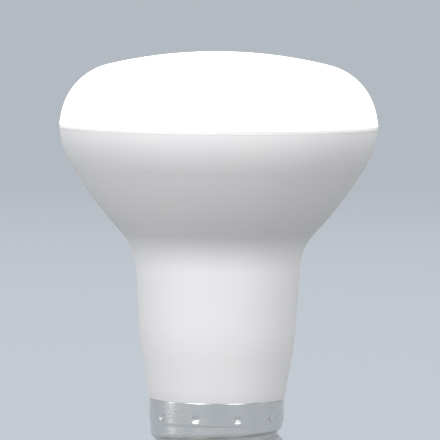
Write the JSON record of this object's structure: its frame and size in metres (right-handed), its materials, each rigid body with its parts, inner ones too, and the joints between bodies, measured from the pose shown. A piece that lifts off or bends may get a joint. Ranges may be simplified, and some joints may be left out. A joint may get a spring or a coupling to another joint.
{
  "type": "reflector bulb",
  "caption": "Reflector bulb with a shallow opal dome, a white flared housing narrowing to a long neck, and a screw cap with a centre contact.",
  "frame": {"origin": "the flat tip of the centre contact, on the bulb's axis", "axes": "+Z along the bulb's axis, from the contact up to the dome; X and Y are alike, because the bulb is round"},
  "size_m": [0.063, 0.063, 0.0955],
  "materials": {
    "opal_diffuser": "opal white plastic, lit from inside",
    "white_housing": "smooth cool-white moulded plastic, satin",
    "plated_shell": "bright rolled sheet",
    "black_insulator": "glossy black, moulded",
    "plated_contact": "plated brass, lightly burnished"
  },
  "bodies": {
    "root": {"diffuser_dome": "opal_diffuser", "housing": "white_housing", "screw_shell": "plated_shell", "insulator": "black_insulator", "centre_contact": "plated_contact", "contact_pin": "plated_contact"}
  },
  "joints": []
}
